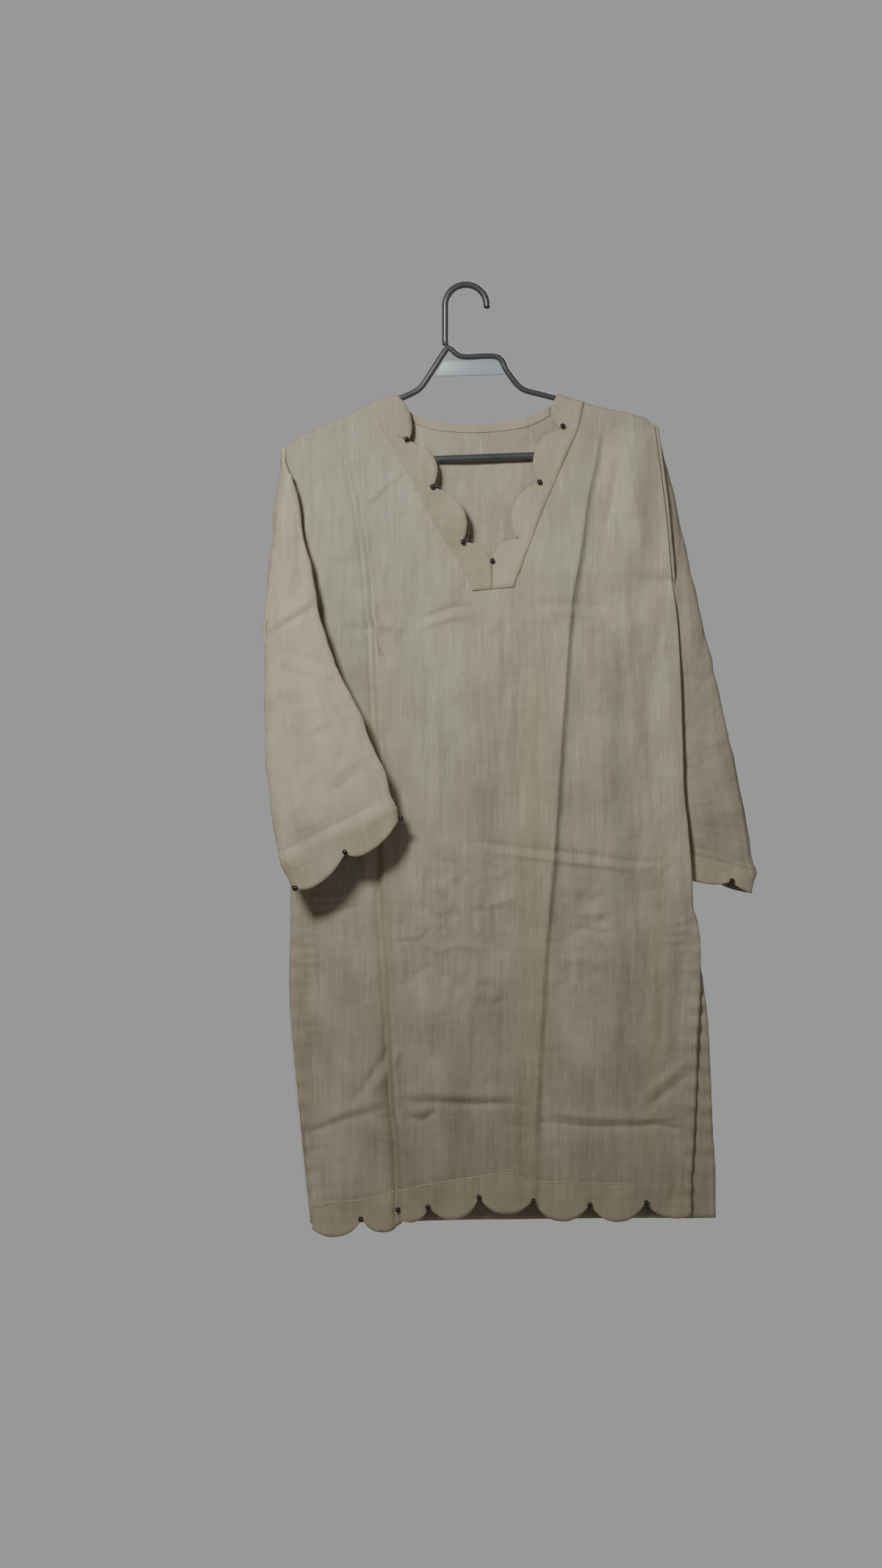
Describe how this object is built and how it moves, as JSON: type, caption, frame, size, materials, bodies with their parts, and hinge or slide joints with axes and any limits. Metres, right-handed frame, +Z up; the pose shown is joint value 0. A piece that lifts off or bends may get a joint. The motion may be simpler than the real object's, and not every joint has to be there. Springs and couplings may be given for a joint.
{
  "type": "tunic dress on a hanger",
  "caption": "Long V-neck tunic dress with scalloped neck, cuffs and hem, three-quarter sleeves and side slits, hanging flat on a plastic hanger.",
  "frame": {"origin": "inner top of the hanger's hook, where a rail or wall hook holds it", "axes": "+Z up, the garment's front faces -Y, +X to the viewer's right when facing the front"},
  "size_m": [0.5641, 0.1122, 1.0907],
  "materials": {
    "tunic_cloth": "matt slubby cotton and linen",
    "facing_cloth": "matt cotton, doubled",
    "hanger_plastic": "glossy",
    "plate_plastic": "satin",
    "bead": "glossy black"
  },
  "bodies": {
    "root": {"front_panel": "tunic_cloth", "back_panel": "tunic_cloth", "sleeve_left": "tunic_cloth", "sleeve_right": "tunic_cloth", "neck_facing": "facing_cloth", "back_neck_facing": "facing_cloth", "hem_facing": "facing_cloth", "cuff_facing_left": "facing_cloth", "cuff_facing_right": "facing_cloth", "hanger_arms": "hanger_plastic", "hanger_bar": "hanger_plastic", "hanger_hook": "hanger_plastic", "hanger_plate": "plate_plastic"}
  },
  "joints": []
}
